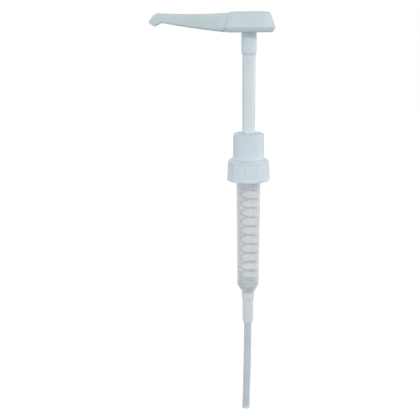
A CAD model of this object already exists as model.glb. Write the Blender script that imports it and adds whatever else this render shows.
"""Looks of the condiment pump: plastics and steel, smooth moulded pieces, studio light and the camera."""
import math

import bmesh
import bpy
import numpy as np
from mathutils import Euler, Matrix, Vector
from mathutils.bvhtree import BVHTree


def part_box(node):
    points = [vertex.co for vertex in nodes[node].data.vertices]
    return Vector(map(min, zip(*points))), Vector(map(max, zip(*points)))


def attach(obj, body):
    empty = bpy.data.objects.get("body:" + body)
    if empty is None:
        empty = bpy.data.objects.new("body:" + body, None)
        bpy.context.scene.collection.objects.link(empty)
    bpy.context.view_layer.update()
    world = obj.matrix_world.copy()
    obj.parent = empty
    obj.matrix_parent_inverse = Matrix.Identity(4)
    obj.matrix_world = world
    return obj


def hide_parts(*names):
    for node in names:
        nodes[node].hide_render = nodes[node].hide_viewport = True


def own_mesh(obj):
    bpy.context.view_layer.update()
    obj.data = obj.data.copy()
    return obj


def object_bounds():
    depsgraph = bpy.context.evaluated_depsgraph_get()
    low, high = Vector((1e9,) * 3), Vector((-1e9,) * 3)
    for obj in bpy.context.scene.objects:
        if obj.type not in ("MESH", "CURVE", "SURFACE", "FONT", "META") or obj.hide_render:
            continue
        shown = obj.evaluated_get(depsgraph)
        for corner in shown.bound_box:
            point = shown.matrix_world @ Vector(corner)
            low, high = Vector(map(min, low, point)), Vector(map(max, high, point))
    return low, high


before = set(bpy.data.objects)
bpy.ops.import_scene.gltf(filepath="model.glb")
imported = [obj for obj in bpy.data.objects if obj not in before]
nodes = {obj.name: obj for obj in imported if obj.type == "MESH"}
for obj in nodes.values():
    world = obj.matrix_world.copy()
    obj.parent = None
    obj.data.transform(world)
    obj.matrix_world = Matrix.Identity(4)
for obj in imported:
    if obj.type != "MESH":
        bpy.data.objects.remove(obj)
cad_low, cad_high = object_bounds()
scene = bpy.context.scene
# Sizes of the pieces are in millimetres and degrees; the camera, the floor and the lamps are in metres.
MM = 0.001

# Camera: a little above the head and looking down the pump, at the photograph's distance
EYE_DISTANCE = 0.828
EYE_HEIGHT = 0.1612
EYE_LEFT = 0.03845
PITCH_DOWN = 14.0
ROLL = -0.42
FOCAL_PIXELS = 850.0
PICTURE_PIXELS = 420.0
SENSOR_MM = 36.0
VIEW_DEPTH = (0.01, 20)

camera_data = bpy.data.cameras.new("camera")
camera_data.sensor_width = SENSOR_MM
camera_data.lens = FOCAL_PIXELS / PICTURE_PIXELS * SENSOR_MM
camera_data.clip_start, camera_data.clip_end = VIEW_DEPTH
camera = bpy.data.objects.new("camera", camera_data)
scene.collection.objects.link(camera)
camera.location = (-EYE_LEFT, -EYE_DISTANCE, EYE_HEIGHT)
level_view = Euler((math.radians(90 - PITCH_DOWN), 0, 0)).to_matrix()
camera.rotation_euler = (level_view @ Matrix.Rotation(math.radians(ROLL), 3, "Z")).to_euler()
scene.camera = camera


# Materials
def linear(hex_colour):
    """An sRGB hex colour as linear RGBA."""
    channels = [int(hex_colour[i : i + 2], 16) / 255 for i in (1, 3, 5)]
    return [c / 12.92 if c <= 0.04045 else ((c + 0.055) / 1.055) ** 2.4 for c in channels] + [1.0]


def add(tree, kind, settings, inputs):
    """Adds a node; an input is a plain value or another node's output."""
    made = tree.nodes.new(kind)
    for name, value in settings.items():
        setattr(made, name, value)
    for name, value in inputs.items():
        if isinstance(value, bpy.types.NodeSocket):
            tree.links.new(value, made.inputs[name])
        else:
            made.inputs[name].default_value = value
    return made


def new_material(name):
    material = bpy.data.materials.new(name)
    material.use_nodes = True
    material.node_tree.nodes.clear()
    return material, material.node_tree


DRIFT_MM = 24
DRIFT_DETAIL = 3.0
DRIFT_ENDS = (0.35, 0.65)
GRAIN_DETAIL = 4.0
GRAIN_STRENGTH = 0.4
GLOSS_DRIFT = 0.05
PLASTIC_IOR = 1.49
SLANT_ENDS = (0.15, 0.8)


def set_tints(tint, deep, pale):
    """Sets the two colours that a surface drifts between."""
    for stop, position, colour in zip(tint.color_ramp.elements, DRIFT_ENDS, (deep, pale)):
        stop.position = position
        stop.color = linear(colour)


def wall_haze(tree, place, straight, slant, cloudy_places):
    """Cover of a milky wall: more where the eye meets it at a slant and where the wall is cloudier.

    A cloudy place is an axis, the two points in mm between which the cloud grows, and its full cover.
    """
    facing = add(tree, "ShaderNodeLayerWeight", {}, {}).outputs["Facing"]
    slanted = {
        "Value": facing,
        "From Min": SLANT_ENDS[0],
        "From Max": SLANT_ENDS[1],
        "To Min": straight,
        "To Max": slant,
    }
    soft_step = {"interpolation_type": "SMOOTHSTEP"}
    cover = add(tree, "ShaderNodeMapRange", soft_step, slanted).outputs["Result"]
    spot = add(tree, "ShaderNodeSeparateXYZ", {}, {"Vector": place}).outputs
    for axis, start, end, full in cloudy_places:
        towards = {"Value": spot[axis], "From Min": start * MM, "From Max": end * MM, "To Max": full}
        grown = add(tree, "ShaderNodeMapRange", {}, towards).outputs["Result"]
        cover = add(tree, "ShaderNodeMath", {"operation": "MAXIMUM"}, {0: cover, 1: grown}).outputs[0]
    return cover


def plastic(name, deep, pale, roughness, grain, grain_depth, sockets, haze=None):
    """Plastic whose colour drifts slowly and whose skin has a grain, in mm across and along the pump."""
    material, tree = new_material(name)
    place = add(tree, "ShaderNodeTexCoord", {}, {}).outputs["Object"]
    slow = {"Vector": place, "Scale": 1 / (DRIFT_MM * MM), "Detail": DRIFT_DETAIL}
    drift = add(tree, "ShaderNodeTexNoise", {}, slow)
    tint = add(tree, "ShaderNodeValToRGB", {}, {"Fac": drift.outputs["Fac"]})
    set_tints(tint, deep, pale)
    across, along = grain
    scale = [1 / (across * MM), 1 / (across * MM), 1 / (along * MM)]
    stretched = add(tree, "ShaderNodeMapping", {}, {"Vector": place, "Scale": scale})
    fine = {"Vector": stretched.outputs["Vector"], "Scale": 1.0, "Detail": GRAIN_DETAIL}
    skin = add(tree, "ShaderNodeTexNoise", {}, fine).outputs["Fac"]
    depth = {"Height": skin, "Strength": GRAIN_STRENGTH, "Distance": grain_depth * MM}
    relief = add(tree, "ShaderNodeBump", {}, depth)
    varied = {
        "Value": skin,
        "From Min": DRIFT_ENDS[0],
        "From Max": DRIFT_ENDS[1],
        "To Min": roughness - GLOSS_DRIFT,
        "To Max": roughness + GLOSS_DRIFT,
    }
    gloss = add(tree, "ShaderNodeMapRange", {}, varied)
    linked = {
        "Base Color": tint.outputs["Color"],
        "Roughness": gloss.outputs["Result"],
        "Normal": relief.outputs["Normal"],
        "IOR": PLASTIC_IOR,
    }
    if haze:
        linked["Alpha"] = wall_haze(tree, place, *haze)
    shader = add(tree, "ShaderNodeBsdfPrincipled", {}, {**linked, **sockets})
    add(tree, "ShaderNodeOutputMaterial", {}, {"Surface": shader.outputs["BSDF"]})
    return material


# Light goes about a millimetre into white polypropylene, which softens its edges.
GLOW_IN_EDGES = {
    "Subsurface Weight": 0.12,
    "Subsurface Radius": [0.9, 1.0, 1.1],
    "Subsurface Scale": MM,
}
# White polypropylene from a spark-eroded mould: a cool white, softly glossy, its skin like orange peel.
# The real skin is too fine to show, so it is drawn at half a millimetre.
white_polypropylene = plastic(
    "moulded_white_polypropylene", "#d2e2e7", "#d9e8eb", 0.42, (0.5, 0.5), 0.02, GLOW_IN_EDGES
)
# The sleeve under the head, the collar and the cap are moulded of a brighter, bluer batch.
bright_polypropylene = plastic(
    "moulded_bright_white_polypropylene", "#dae8f0", "#e1edf4", 0.46, (0.5, 0.5), 0.02, GLOW_IN_EDGES
)
# White polypropylene drawn into a tube: a paler, smoother white with faint lines along it.
# The real draw lines are too fine to show, so they are drawn wider.
extruded_polypropylene = plastic(
    "extruded_white_polypropylene", "#dfecf1", "#e6f2f6", 0.36, (0.4, 9), 0.015, GLOW_IN_EDGES
)
# Natural polypropylene moulded thin: milky and clear enough to show what lies close behind the wall.
# Its foot round the inlet valve, its neck under the cap and its side under the spout are cloudier,
# so less shows there.
BARREL_HAZE = (0.44, 0.64, [("Z", -127, -134, 0.72), ("Z", -26, -19, 0.85), ("X", -4, -10, 0.54)])
natural_polypropylene = plastic(
    "moulded_natural_polypropylene", "#f1f8fd", "#f6fcff", 0.45, (0.8, 7), 0.02, {}, BARREL_HAZE
)
# Natural low-density polyethylene drawn into a tube: cloudier, greyer and waxy.
TUBE_HAZE = (0.64, 0.85, [])
natural_polyethylene = plastic(
    "extruded_natural_polyethylene", "#dde8f0", "#e4eef5", 0.45, (0.5, 8), 0.02, {}, TUBE_HAZE
)
# Soft thermoplastic elastomer: matt and slightly warm.
soft_elastomer = plastic("moulded_soft_elastomer", "#e2e4de", "#eaece7", 0.6, (0.4, 0.4), 0.02, {})


LINE_DETAIL = 5.0
LINE_STRENGTH = 0.3
LINE_DEPTH = 0.01


def bright_steel(name, dark, pale, roughness, line_mm):
    """Bare stainless steel with fine tool lines."""
    material, tree = new_material(name)
    place = add(tree, "ShaderNodeTexCoord", {}, {}).outputs["Object"]
    fine = {"Vector": place, "Scale": 1 / (line_mm * MM), "Detail": LINE_DETAIL}
    lines = add(tree, "ShaderNodeTexNoise", {}, fine).outputs["Fac"]
    tint = add(tree, "ShaderNodeValToRGB", {}, {"Fac": lines})
    set_tints(tint, dark, pale)
    depth = {"Height": lines, "Strength": LINE_STRENGTH, "Distance": LINE_DEPTH * MM}
    relief = add(tree, "ShaderNodeBump", {}, depth)
    linked = {"Base Color": tint.outputs["Color"], "Normal": relief.outputs["Normal"]}
    steel = add(tree, "ShaderNodeBsdfPrincipled", {}, {**linked, "Metallic": 1.0, "Roughness": roughness})
    add(tree, "ShaderNodeOutputMaterial", {}, {"Surface": steel.outputs["BSDF"]})
    return material


# Stainless wire drawn through a die: dark grey and satin, with lines drawn wider so that they show.
drawn_stainless = bright_steel("drawn_stainless_steel", "#23282e", "#353b41", 0.4, 0.25)
# Ground stainless balls: a dark mirror that is slightly soft.
ground_stainless = bright_steel("ground_stainless_steel", "#5c6267", "#767c81", 0.18, 0.4)

FINISHES = {
    white_polypropylene: ["head_shell", "piston_body", "stem_guide"],
    bright_polypropylene: ["head_base", "collar", "screw_cap"],
    extruded_polypropylene: ["stem"],
    natural_polypropylene: ["barrel", "ball_cage"],
    natural_polyethylene: ["dip_tube"],
    soft_elastomer: ["piston_seal", "stem_wiper", "neck_gasket"],
    drawn_stainless: ["spring"],
    ground_stainless: ["inlet_ball", "outlet_ball"],
}
for finish, names in FINISHES.items():
    for name in names:
        nodes[name].data.materials.clear()
        nodes[name].data.materials.append(finish)


# Mesh making
def ring_skin(rings, closed_loop=False):
    """A mesh between rings of points; its two ends are closed, or joined in a closed loop."""
    count = len(rings[0])
    levels = len(rings)
    points = [p for ring in rings for p in ring]
    faces = []
    for i in range(levels if closed_loop else levels - 1):
        low, high = i * count, (i + 1) % levels * count
        for k in range(count):
            n = (k + 1) % count
            faces.append((low + k, low + n, high + n, high + k))
    if not closed_loop:
        last = (levels - 1) * count
        faces.append(tuple(range(count - 1, -1, -1)))
        faces.append(tuple(range(last, last + count)))
    mesh = bpy.data.meshes.new("rings")
    mesh.from_pydata([Vector(p) * MM for p in points], [], faces)
    mesh.update()
    return mesh


def shaped(mesh, kind, **settings):
    """The mesh after one modifier."""
    holder = bpy.data.objects.new("holder", mesh)
    scene.collection.objects.link(holder)
    modifier = holder.modifiers.new(kind.lower(), kind)
    for name, value in settings.items():
        setattr(modifier, name, value)
    result = bpy.data.meshes.new_from_object(holder.evaluated_get(bpy.context.evaluated_depsgraph_get()))
    bpy.data.objects.remove(holder)
    return result


def new_piece(name, mesh, finish, body, sharp_angle):
    """A finished mesh as a piece that rides on a body, smooth but for edges sharper than the angle."""
    mesh.name = name
    mesh.materials.clear()
    mesh.materials.append(finish)
    mesh.shade_smooth()
    mesh.set_sharp_from_angle(angle=math.radians(sharp_angle))
    piece = bpy.data.objects.new(name, mesh)
    scene.collection.objects.link(piece)
    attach(piece, body)
    return piece


def arc(centre, radius, start, end, steps):
    """Points of an arc, in degrees."""
    turns = [math.radians(start + (end - start) * i / steps) for i in range(steps + 1)]
    return [(centre[0] + radius * math.cos(a), centre[1] + radius * math.sin(a)) for a in turns]


def squared(c, power):
    """A cosine or sine drawn out towards the corners of a rounded box."""
    return math.copysign(abs(c) ** (2 / power), c)


# Head: push button and spout in one moulding, the same shapes as the solid with a fillet where they meet
BUTTON_LEN = 48.6
BUTTON_W = 36.0
BUTTON_H = 19.1
BUTTON_X = 0.2
BUTTON_POWER = 8
BUTTON_DRAFT = 19.0
BUTTON_WALL = 3.8
BUTTON_SIDES = 192
RIM_FLAT = 0.2
CREASE_H = 4.8
CREASE_ROUND = 0.5
BAND_DRAFT = 22.0
TOP_ROUND = 2.5
BUTTON_CROWN = 0.5
CROWN_RUN = 9.0
ROOF_T = 2.4
LOW_STEPS = 12
CREASE_STEPS = 6
TOP_STEPS = 10
CROWN_STEPS = 6
CUT_PAST = 1.0
head_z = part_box("head_shell")[0].z / MM
draft, band = math.radians(BUTTON_DRAFT), math.radians(BAND_DRAFT)
draft_run = math.tan(draft)
low_round = (BUTTON_WALL - RIM_FLAT - CREASE_H * math.tan(band)) / math.tan((math.pi / 2 - band) / 2)
crease_x = CREASE_ROUND * (math.sin(band) + math.sin(draft)) / math.sin(band + draft)
crease_centre = (crease_x, CREASE_H + (crease_x * math.cos(draft) - CREASE_ROUND) / math.sin(draft))
rim_h = BUTTON_H - BUTTON_CROWN
rim_inset = draft_run * (rim_h - CREASE_H) + TOP_ROUND * math.tan((math.pi / 2 - draft) / 2)
roof_h = rim_h - ROOF_T


def button_ring(inset, height):
    """A rounded box round the button, drawn in by the inset."""
    ring = []
    for k in range(BUTTON_SIDES):
        t = 2 * math.pi * k / BUTTON_SIDES
        x = BUTTON_X + (BUTTON_LEN / 2 - inset) * squared(math.cos(t), BUTTON_POWER)
        y = (BUTTON_W / 2 - inset) * squared(math.sin(t), BUTTON_POWER)
        ring.append((x, y, head_z + height))
    return ring


def button_mesh(profile):
    return ring_skin([button_ring(inset, height) for inset, height in profile])


crown_shares = [i / CROWN_STEPS for i in range(1, CROWN_STEPS + 1)]
button_outline = (
    arc((BUTTON_WALL - RIM_FLAT, low_round), low_round, -90, -180 + BAND_DRAFT, LOW_STEPS)
    + arc(crease_centre, CREASE_ROUND, -180 + BAND_DRAFT, -180 - BUTTON_DRAFT, CREASE_STEPS)
    + arc((rim_inset, rim_h - TOP_ROUND), TOP_ROUND, 180 - BUTTON_DRAFT, 90, TOP_STEPS)
    + [(rim_inset + CROWN_RUN * u, rim_h + BUTTON_CROWN * (1 - (1 - u) ** 2)) for u in crown_shares]
)
inside_levels = (-CUT_PAST, CREASE_H, roof_h)
button_inside = [(BUTTON_WALL + draft_run * max(0, h - CREASE_H), h) for h in inside_levels]

SPOUT_REACH = 92.2
BEAK_REACH = 9.8
SPOUT_SINK = 1.4
SPOUT_DIP = 0.8
SPOUT_LOW_H = 8.7
SPOUT_LOW_BOW = 0.5
SPOUT_ROOT_HALF = 10.0
SPOUT_TIP_HALF = 6.0
BEAK_SWELL = 0.4
SPOUT_POWER = 6
SPOUT_SIDES = 96
SPOUT_WALL = 1.9
SPOUT_START_IN = 0.2
ROOT_DEPTH = 8.0
MOUTH_D = 5.6
MOUTH_BORE_LEN = 8.0
MOUTH_SIDES = 48
TIP_ROUND = 0.9
TIP_STEPS = 5
# The top and low edges of the beak, from the bend: what each is drawn towards, its end, and how hard
BEAK_TOP = (Vector((-7.4, 0.3)), Vector((-13.4, -8.1)), 3)
BEAK_LOW = (Vector((-2, -0.4)), Vector((-7, -3.4)), 1)
# Widening of the mouth's bore, and how far out from the beak's end
MOUTH_LIP = [(0, -0.5), (0.15, -0.2), (0.9, 0.6)]
bend_x = BEAK_REACH - SPOUT_REACH
start_x = BUTTON_X - BUTTON_LEN / 2 + SPOUT_START_IN
spout_top_h = BUTTON_H - SPOUT_SINK


def straight_station(x):
    """Top point, low point and half width of the spout at x, before its bend."""
    u = max(0, (start_x - x) / (start_x - bend_x))
    top = spout_top_h - SPOUT_DIP * max(0, 1 - (2 * u - 1) ** 2)
    low = SPOUT_LOW_H * u - SPOUT_LOW_BOW * 4 * u * (1 - u)
    half = SPOUT_ROOT_HALF + (SPOUT_TIP_HALF + BEAK_SWELL - SPOUT_ROOT_HALF) * u
    return Vector((x, top)), Vector((x, low)), half


def drawn_curve(start, pull, end, weight, v):
    """A curve from start to start + end, drawn towards start + pull by the weight."""
    near, drawn, far = (1 - v) ** 2, 2 * weight * v * (1 - v), v * v
    return start + (pull * drawn + end * far) / (near + drawn + far)


def beak_station(v):
    """Top point, low point and half width of the beak after the share v of its bend."""
    top, low, _ = straight_station(bend_x)
    half = SPOUT_TIP_HALF + BEAK_SWELL * (1 - v)
    return drawn_curve(top, *BEAK_TOP, v), drawn_curve(low, *BEAK_LOW, v), half


STRAIGHT_STEPS = 40
BEAK_STEPS = 24
CHANNEL_SHORT = 12
spout_stations = [straight_station(start_x + ROOT_DEPTH)]
for i in range(STRAIGHT_STEPS + 1):
    spout_stations.append(straight_station(start_x + (bend_x - start_x) * i / STRAIGHT_STEPS))
spout_stations += [beak_station(i / BEAK_STEPS) for i in range(1, BEAK_STEPS + 1)]
end_top, end_low, end_half = spout_stations[-1]
end_middle, end_rise = (end_top + end_low) / 2, (end_top - end_low).normalized()
end_outward = Vector((-end_rise.y, end_rise.x))


def spout_ring(station, wall):
    """A rounded box round the spout at a station, drawn in by the wall."""
    top, low, half = station
    middle, rise = (top + low) / 2, (top - low) / 2
    rise = rise * (1 - wall / rise.length)
    ring = []
    for k in range(SPOUT_SIDES):
        t = 2 * math.pi * k / SPOUT_SIDES
        spot = middle + rise * squared(math.cos(t), SPOUT_POWER)
        ring.append((spot.x, (half - wall) * squared(math.sin(t), SPOUT_POWER), head_z + spot.y))
    return ring


def spout_mesh(stations, wall):
    return ring_skin([spout_ring(s, wall) for s in stations])


def spout_outside():
    """The spout with the edge of its end rounded."""
    kept = [s for s in spout_stations if ((s[0] + s[1]) / 2 - end_middle).length > TIP_ROUND]
    rings = [spout_ring(s, 0) for s in kept]
    for along, inset in arc((0, 0), TIP_ROUND, 0, 90, TIP_STEPS):
        back = end_outward * (inset - TIP_ROUND)
        rings.append(spout_ring((end_top + back, end_low + back, end_half), TIP_ROUND - along))
    return ring_skin(rings)


def mouth_cutter():
    """A round bore through the end of the beak, wider at its lip."""
    centre = Vector((end_middle.x, 0, head_z + end_middle.y))
    outward = Vector((end_outward.x, 0, end_outward.y))
    up = Vector((end_rise.x, 0, end_rise.y))
    side = Vector((0, 1, 0))
    turns = [2 * math.pi * k / MOUTH_SIDES for k in range(MOUTH_SIDES)]
    round_way = [math.cos(a) * up + math.sin(a) * side for a in turns]
    rings = []
    for widened, out in [(0, -MOUTH_BORE_LEN)] + MOUTH_LIP:
        rings.append([centre + outward * out + (MOUTH_D / 2 + widened) * way for way in round_way])
    return ring_skin(rings)


def joined(meshes):
    """The meshes as one, with their points left apart."""
    points, faces = [], []
    for mesh in meshes:
        start = len(points)
        points += [v.co.copy() for v in mesh.vertices]
        faces += [[start + i for i in face.vertices] for face in mesh.polygons]
    result = bpy.data.meshes.new("joined")
    result.from_pydata(points, [], faces)
    result.update()
    return result


def tree_of(mesh):
    """The mesh as a tree that finds its nearest face."""
    return BVHTree.FromPolygons([v.co for v in mesh.vertices], [p.vertices[:] for p in mesh.polygons])


def eased(mesh, shares, rounds):
    """Moves each point towards the mean of its neighbours, by its share, some rounds over."""
    points = np.array([v.co for v in mesh.vertices])
    ends = np.array([e.vertices[:] for e in mesh.edges])
    ends = np.vstack([ends, ends[:, ::-1]])
    neighbours = np.bincount(ends[:, 0], minlength=len(points))[:, None]
    for _ in range(rounds):
        sums = [np.bincount(ends[:, 0], points[ends[:, 1], c], len(points)) for c in range(3)]
        points += (np.column_stack(sums) / neighbours - points) * shares[:, None]
    mesh.vertices.foreach_set("co", points.ravel())
    mesh.update()


FILLET_REACH = 2.2 * MM
FILLET_SHARE = 0.5
FILLET_ROUNDS = 60
SKIN_SHARE = 0.4
SKIN_ROUNDS = 2
HEAD_VOXEL = 0.45 * MM
SLIVER = 0.02 * MM
HEAD_SHARP = 40


def head_mesh():
    """Button and spout as one skin, eased together, with inside, channel and mouth cut out."""
    button, spout = button_mesh(button_outline), spout_outside()
    skin = shaped(joined([button, spout]), "REMESH", mode="VOXEL", voxel_size=HEAD_VOXEL)
    trees = tree_of(button), tree_of(spout)
    nearest = [max(tree.find_nearest(v.co)[3] for tree in trees) for v in skin.vertices]
    near = np.clip(1 - np.array(nearest) / FILLET_REACH, 0, 1)
    eased(skin, FILLET_SHARE * np.minimum(1, 2 * near), FILLET_ROUNDS)
    eased(skin, np.full(len(nearest), SKIN_SHARE), SKIN_ROUNDS)
    channel = spout_mesh(spout_stations[:-CHANNEL_SHORT], SPOUT_WALL)
    for cut in (button_mesh(button_inside), channel, mouth_cutter()):
        cutter = bpy.data.objects.new("cutter", cut)
        scene.collection.objects.link(cutter)
        skin = shaped(skin, "BOOLEAN", operation="DIFFERENCE", solver="EXACT", object=cutter)
        bpy.data.objects.remove(cutter)
    # The cuts leave a few slivers, which are taken out.
    clean = bmesh.new()
    clean.from_mesh(skin)
    bmesh.ops.triangulate(clean, faces=clean.faces)
    bmesh.ops.dissolve_degenerate(clean, dist=SLIVER, edges=clean.edges)
    clean.to_mesh(skin)
    clean.free()
    return skin


head = new_piece(
    "head_moulding", head_mesh(), white_polypropylene, "head", HEAD_SHARP
)
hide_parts("head_shell")

# Screw cap: the solid's outline with rounder flutes, and the thread that the solid leaves out
CAP_BASE_R = 21.3
CAP_TOP_R = 20.35
CAP_BORE_R = 19.0
CAP_RECESS_R = 17.6
CAP_HOLE_R = 13.3
CAP_LAND_R = 15.75
CAP_EDGE = 0.9
CAP_LOW_EDGE = 0.5
CAP_LAND_DROP = 2.6
CAP_RECESS_Z = -1.0
CAP_UNDER_Z = 3.8
FLUTE_COUNT = 20
FLUTE_STEPS = 16
FLUTE_DEPTH = 0.5
FLUTE_LOW_RIM = 2.6
FLUTE_TOP_BAND = 0.9
FLUTE_RUN = 0.9
CAP_SIDE_STEPS = 30
CAP_LOW_STEPS = 6
CAP_EDGE_TURN = 60
CAP_EDGE_STEPS = 8
# Wider than the angle at the cusps between the flutes, so that these shade softly
CAP_SHARP = 44
cap_low_z, cap_land_z = (corner.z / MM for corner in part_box("screw_cap"))
cap_shoulder_z = cap_land_z - CAP_LAND_DROP
flute_z0 = cap_low_z + FLUTE_LOW_RIM
flute_z1 = cap_shoulder_z - FLUTE_TOP_BAND


def cap_side(z):
    """Radius of the cap's drafted side at level z."""
    return CAP_BASE_R - (CAP_BASE_R - CAP_TOP_R) * (z - cap_low_z) / (cap_shoulder_z - cap_low_z)


def flute_share(z):
    """How much of a flute's depth is there at level z: it runs out at both ends."""
    u = min(1, max(0, min(z - flute_z0, flute_z1 - z) / FLUTE_RUN))
    return u * u * (3 - 2 * u)


def cap_ring(radius, z, fluted):
    """A ring of the cap at level z, hollowed by the flutes where it is fluted."""
    ring = []
    for k in range(FLUTE_COUNT * FLUTE_STEPS):
        a = 2 * math.pi * (k / FLUTE_STEPS - 0.5) / FLUTE_COUNT - math.pi / 2
        across = 2 * (k % FLUTE_STEPS) / FLUTE_STEPS - 1
        r = radius - (FLUTE_DEPTH * flute_share(z) * (1 - across * across) if fluted else 0)
        ring.append((r * math.cos(a), r * math.sin(a), z))
    return ring


side_shares = [i / CAP_SIDE_STEPS for i in range(CAP_SIDE_STEPS + 1)]
side_levels = [flute_z0 + (flute_z1 - flute_z0) * u for u in side_shares]
low_edge_centre = (CAP_BASE_R - CAP_LOW_EDGE, cap_low_z + CAP_LOW_EDGE)
cap_outside = arc(low_edge_centre, CAP_LOW_EDGE, -90, 0, CAP_LOW_STEPS)
cap_outside += [(cap_side(z), z) for z in side_levels]
cap_edge_centre = (CAP_TOP_R - CAP_EDGE, cap_shoulder_z - CAP_EDGE)
cap_outside += arc(cap_edge_centre, CAP_EDGE, 0, CAP_EDGE_TURN, CAP_EDGE_STEPS)
cap_outside += [(CAP_LAND_R, cap_land_z)]
cap_inside = [
    (CAP_HOLE_R, cap_land_z),
    (CAP_HOLE_R, CAP_UNDER_Z),
    (CAP_RECESS_R, CAP_UNDER_Z),
    (CAP_RECESS_R, CAP_RECESS_Z),
    (CAP_BORE_R, CAP_RECESS_Z - (CAP_BORE_R - CAP_RECESS_R)),
    (CAP_BORE_R, cap_low_z + CAP_LOW_EDGE),
    (CAP_BORE_R + CAP_LOW_EDGE, cap_low_z),
]
cap_rings = [cap_ring(r, z, True) for r, z in cap_outside]
cap_rings += [cap_ring(r, z, False) for r, z in cap_inside]
cap_mesh = ring_skin(cap_rings, closed_loop=True)
cap = new_piece(
    "fluted_cap", cap_mesh, bright_polypropylene, "screw_cap", CAP_SHARP
)
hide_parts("screw_cap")

# Collar: the solid's outline, with the skirt that flares out on to the cap's shoulder
COLLAR_IN_R = 13.15
COLLAR_BASE_R = 15.55
COLLAR_TOP_R = 15.25
COLLAR_HOLE_R = 6.75
COLLAR_SEAT_R = 11.95
COLLAR_EDGE = 1.4
COLLAR_CROWN = 0.4
COLLAR_HOLE_EDGE = 0.6
COLLAR_SIDES = 160
REST_GAP = 0.1
SKIRT_GAP = 0.1
SKIRT_THICK = 0.1
SKIRT_ROUND = 3.5
SKIRT_LEN = 2.3
SKIRT_LIP = 0.2
SKIRT_LIP_ENDS = (0.2, 0.7)
SKIRT_STEPS = 16
COLLAR_EDGE_TURN = 85
COLLAR_EDGE_STEPS = 10
TURNED_SHARP = 34
collar_low_z, collar_top_z = (corner.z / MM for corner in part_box("collar"))
wiper_low_z, wiper_top_z = (corner.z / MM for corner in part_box("stem_wiper"))
shoulder_top = Vector((CAP_LAND_R, cap_land_z))
shoulder_run = (Vector(cap_outside[-2]) - shoulder_top).normalized()
shoulder_up = Vector((-shoulder_run.y, shoulder_run.x))


def skirt_point(height, along):
    """A point over the cap's shoulder, by its height and its way from the collar's wall."""
    foot = shoulder_top + shoulder_up * height
    return foot + shoulder_run * ((COLLAR_BASE_R - foot.x) / shoulder_run.x + along)


slope = math.degrees(math.atan2(-shoulder_run.y, shoulder_run.x))
skirt_top = SKIRT_GAP + SKIRT_THICK
round_drop = SKIRT_ROUND * math.tan(math.radians(45 - slope / 2))
round_centre = (COLLAR_BASE_R + SKIRT_ROUND, skirt_point(skirt_top, 0).y + round_drop)
skirt_lip = [skirt_point(SKIRT_GAP + u * SKIRT_THICK, SKIRT_LEN + SKIRT_LIP) for u in SKIRT_LIP_ENDS]
collar_outline = [
    (COLLAR_IN_R, collar_low_z),
    (CAP_LAND_R, collar_low_z),
    skirt_point(SKIRT_GAP, SKIRT_LEN),
    *skirt_lip,
    skirt_point(skirt_top, SKIRT_LEN),
]
collar_outline += arc(round_centre, SKIRT_ROUND, 270 - slope, 180, SKIRT_STEPS)
collar_edge_centre = (COLLAR_TOP_R - COLLAR_EDGE, collar_top_z - COLLAR_CROWN - COLLAR_EDGE)
collar_outline += arc(collar_edge_centre, COLLAR_EDGE, 0, COLLAR_EDGE_TURN, COLLAR_EDGE_STEPS)
collar_outline += [
    (COLLAR_HOLE_R + COLLAR_HOLE_EDGE, collar_top_z),
    (COLLAR_HOLE_R, collar_top_z - COLLAR_HOLE_EDGE),
    (COLLAR_HOLE_R, wiper_top_z + REST_GAP),
    (COLLAR_SEAT_R, wiper_top_z + REST_GAP),
    (COLLAR_SEAT_R, wiper_low_z),
    (COLLAR_IN_R, wiper_low_z),
]


def turned_ring(radius, z, sides):
    turns = [2 * math.pi * k / sides for k in range(sides)]
    return [(radius * math.cos(a), radius * math.sin(a), z) for a in turns]


collar_rings = [turned_ring(r, z, COLLAR_SIDES) for r, z in collar_outline]
collar_mesh = ring_skin(collar_rings, closed_loop=True)
collar = new_piece(
    "guide_collar", collar_mesh, bright_polypropylene, "barrel", TURNED_SHARP
)
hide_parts("collar")

# Thread of the cap: one ridge of a turn and a half that runs out at both ends
THREAD_PITCH = 4.23
THREAD_TURNS = 1.5
THREAD_START_Z = -11.4
THREAD_HEIGHT = 1.1
THREAD_ROOT = 2.3
THREAD_CREST = 0.9
THREAD_SINK = 0.2
THREAD_RUN_OUT = 0.08
THREAD_LEAST = 0.02
THREAD_STEPS = 180


def thread_ring(u):
    """Section of the ridge after the share u of its length."""
    grown = math.sin(math.pi / 2 * min(1, u / THREAD_RUN_OUT, (1 - u) / THREAD_RUN_OUT))
    a = 2 * math.pi * THREAD_TURNS * u
    z = THREAD_START_Z + THREAD_PITCH * THREAD_TURNS * u
    crest = CAP_BORE_R - THREAD_HEIGHT * max(THREAD_LEAST, grown)
    section = [
        (CAP_BORE_R + THREAD_SINK, -THREAD_ROOT / 2),
        (CAP_BORE_R, -THREAD_ROOT / 2),
        (crest, -THREAD_CREST / 2),
        (crest, THREAD_CREST / 2),
        (CAP_BORE_R, THREAD_ROOT / 2),
        (CAP_BORE_R + THREAD_SINK, THREAD_ROOT / 2),
    ]
    return [(r * math.cos(a), r * math.sin(a), z + up) for r, up in section]


thread_rings = [thread_ring(i / THREAD_STEPS) for i in range(THREAD_STEPS + 1)]
thread_mesh = ring_skin(thread_rings)
new_piece(
    "cap_thread", thread_mesh, bright_polypropylene, "screw_cap", TURNED_SHARP
)

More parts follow.
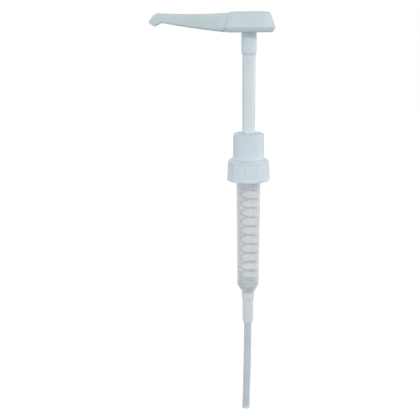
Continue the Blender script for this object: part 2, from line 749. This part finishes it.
# Spring: the left-hand wire of the solid, drawn round. It leans to one side of its bore and its end turns
# stand apart. It closes up as the plunger goes down.
WIRE_D = 1.4
SPRING_R = 8.55
SPRING_TURNS = 13.36
SPRING_START = -138.0
WIRE_END_GAP = 1.4
SPRING_LEAN = (0.2, 0.8)
LEAN_TURNS = 1.5
CLOSE_TURNS = 1.0
RAMP_TURNS = 1.0
STEPS_PER_TURN = 48
WIRE_SIDES = 14
WIRE_SHARP = 40
end_pitch = WIRE_D + WIRE_END_GAP
spring_foot, spring_top = (corner.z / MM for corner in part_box("spring"))
wire_low = spring_foot + WIRE_D / 2
wire_top = spring_top - WIRE_D / 2
open_turns = SPRING_TURNS - 2 * CLOSE_TURNS - RAMP_TURNS
open_pitch = end_pitch + (wire_top - wire_low - end_pitch * SPRING_TURNS) / open_turns


def opened(turns):
    """Turns gone at full pitch, where the pitch opens over the first ramp."""
    u = turns / RAMP_TURNS
    return 0 if u <= 0 else RAMP_TURNS * (u - 0.5 if u >= 1 else u * u / 2)


def wire_point(turn):
    """Middle of the wire after some turns from its foot."""
    a = math.radians(SPRING_START - 360 * turn)
    full = opened(turn - CLOSE_TURNS) - opened(turn - SPRING_TURNS + CLOSE_TURNS + RAMP_TURNS)
    z = wire_low + end_pitch * turn + (open_pitch - end_pitch) * full
    lean = SPRING_LEAN[0] + (SPRING_LEAN[1] - SPRING_LEAN[0]) * min(1, turn / LEAN_TURNS)
    return Vector((lean + SPRING_R * math.cos(a), SPRING_R * math.sin(a), z))


def wire_ring(turn):
    """Round section of the wire, square to its run."""
    step = 1 / STEPS_PER_TURN
    along = (wire_point(turn + step) - wire_point(turn - step)).normalized()
    side = along.cross(Vector((0, 0, 1))).normalized()
    up = side.cross(along)
    turns = [2 * math.pi * k / WIRE_SIDES for k in range(WIRE_SIDES)]
    return [wire_point(turn) + WIRE_D / 2 * (math.cos(a) * side + math.sin(a) * up) for a in turns]


wire_steps = round(SPRING_TURNS * STEPS_PER_TURN)
wire_rings = [wire_ring(SPRING_TURNS * i / wire_steps) for i in range(wire_steps + 1)]
spring = new_piece("spring_wire", ring_skin(wire_rings), drawn_stainless, "barrel", WIRE_SHARP)
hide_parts("spring")
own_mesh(spring)

# Floor: pale matt paint, white to the eye but with the pump's shadow on it
FLOOR_DROP = 0.5
FLOOR_HALF = 6.0
FLOOR_GREY = "#9c9e9f"
FLOOR_LIFT = 0.92
floor_z = cad_low.z - FLOOR_DROP
floor_mesh = bpy.data.meshes.new("floor")
corners = [(x * FLOOR_HALF, y * FLOOR_HALF, floor_z) for x, y in [(-1, -1), (1, -1), (1, 1), (-1, 1)]]
floor_mesh.from_pydata(corners, [], [(0, 1, 2, 3)])
floor = bpy.data.objects.new("floor", floor_mesh)
scene.collection.objects.link(floor)


def seen_directly(tree):
    """1 where the eye, a reflection or a view through clear plastic meets the surface."""
    ways = add(tree, "ShaderNodeLightPath", {}, {}).outputs
    larger = {"operation": "MAXIMUM"}
    eye_or_gloss = {0: ways["Is Camera Ray"], 1: ways["Is Glossy Ray"]}
    seen = add(tree, "ShaderNodeMath", larger, eye_or_gloss).outputs[0]
    return add(tree, "ShaderNodeMath", larger, {0: seen, 1: ways["Is Transmission Ray"]}).outputs[0]


floor_paint, tree = new_material("matt_white_paint")
matt = add(tree, "ShaderNodeBsdfDiffuse", {}, {"Color": linear(FLOOR_GREY)}).outputs[0]
white = add(tree, "ShaderNodeEmission", {}, {"Strength": FLOOR_LIFT}).outputs[0]
lifted = add(tree, "ShaderNodeAddShader", {}, {0: matt, 1: white}).outputs[0]
paint = add(tree, "ShaderNodeMixShader", {}, {"Fac": seen_directly(tree), 1: matt, 2: lifted}).outputs[0]
add(tree, "ShaderNodeOutputMaterial", {}, {"Surface": paint})
floor_mesh.materials.append(floor_paint)

# Studio: an even white room, seen as pure white
ROOM_LIGHT = 0.38
SEEN_WHITE = 1.0
world = bpy.data.worlds.new("studio")
scene.world = world
world.use_nodes = True
tree = world.node_tree
tree.nodes.clear()
white_air = {"Color": linear("#ffffff")}
room = add(tree, "ShaderNodeBackground", {}, {**white_air, "Strength": ROOM_LIGHT}).outputs[0]
backdrop = add(tree, "ShaderNodeBackground", {}, {**white_air, "Strength": SEEN_WHITE}).outputs[0]
sky = add(tree, "ShaderNodeMixShader", {}, {"Fac": seen_directly(tree), 1: room, 2: backdrop}).outputs[0]
add(tree, "ShaderNodeOutputWorld", {}, {"Surface": sky})


def softbox(name, place, size, watts, aim=(0, 0, 0), beam=180):
    """A round softbox, in metres and watts; a grid on it narrows its beam, in degrees."""
    data = bpy.data.lights.new(name, "AREA")
    data.shape = "DISK"
    data.size = size
    data.energy = watts
    data.spread = math.radians(beam)
    lamp = bpy.data.objects.new(name, data)
    scene.collection.objects.link(lamp)
    lamp.location = place
    lamp.rotation_euler = (Vector(aim) - Vector(place)).to_track_quat("-Z", "Y").to_euler()


# A small key from the upper right front gives the edges their shape, and wide fills soften its shadows.
softbox("front_key", (0.81, -1.74, 1.27), 0.16, 13.6)
softbox("right_fill", (1.68, 0, 0.24), 1.2, 8.5)
softbox("left_fill", (-1.46, -0.84, 0.24), 1.2, 6.9)
softbox("back_fill", (-1.3, 1.3, 0.55), 1.2, 6)
softbox("low_front_fill", (0.25, -1.15, -0.12), 0.5, 0.6)
softbox("barrel_fill", (0, -1.2, -0.32), 0.5, 0.075, aim=(0, 0, -0.13), beam=24)

scene.view_settings.view_transform = "Standard"
